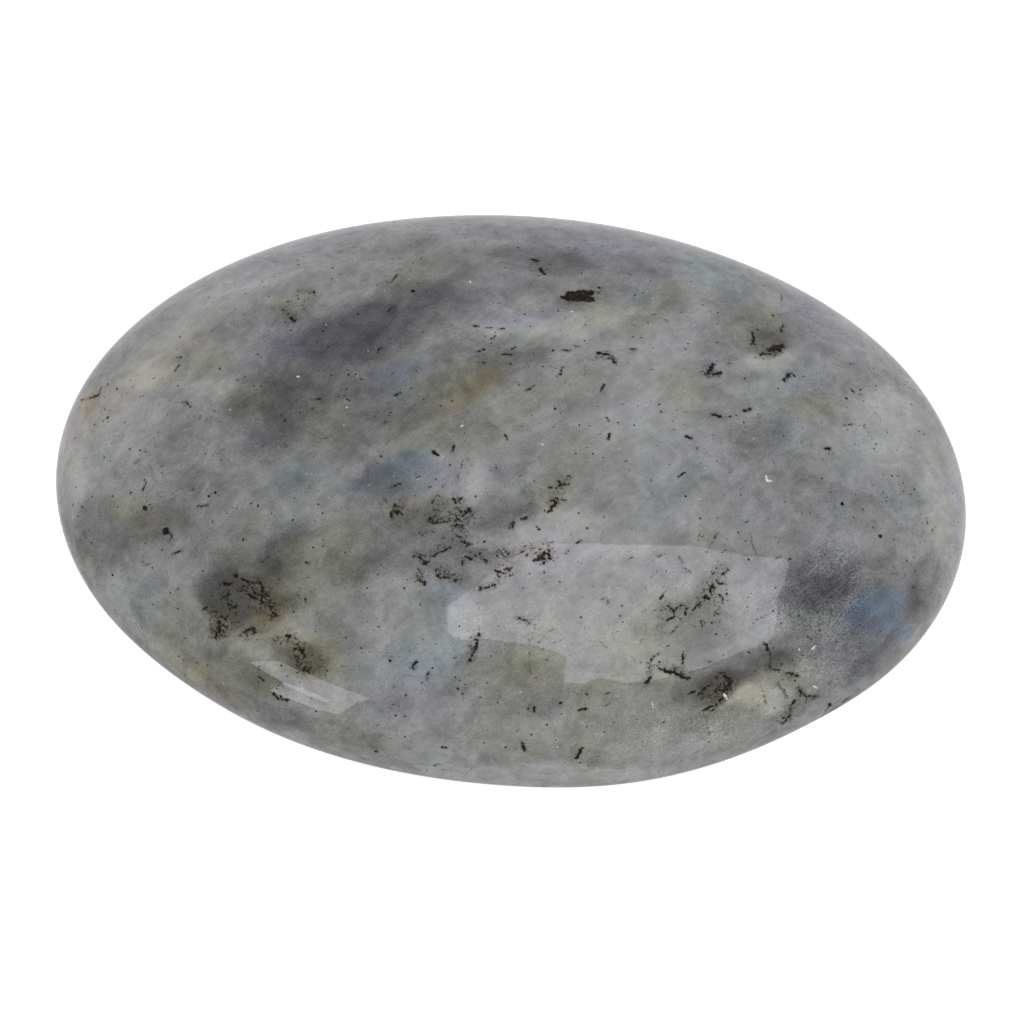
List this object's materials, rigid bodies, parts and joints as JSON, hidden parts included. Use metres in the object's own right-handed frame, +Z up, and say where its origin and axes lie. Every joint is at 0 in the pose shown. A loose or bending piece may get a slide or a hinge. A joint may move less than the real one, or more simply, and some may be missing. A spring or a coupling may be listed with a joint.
{
  "type": "palm stone",
  "caption": "Smooth flattened oval pebble of polished grey feldspar with dark flecks and a blue sheen, held in the palm or laid flat on a surface.",
  "frame": {"origin": "on the surface the stone lies on, under the middle of its box", "axes": "+X along the stone's length, +Y across its width towards the far side, +Z up"},
  "size_m": [0.07, 0.047, 0.022],
  "materials": {
    "stone": "polished, cloudy grey with dark flecks"
  },
  "bodies": {
    "root": {"stone": "stone"}
  },
  "joints": []
}
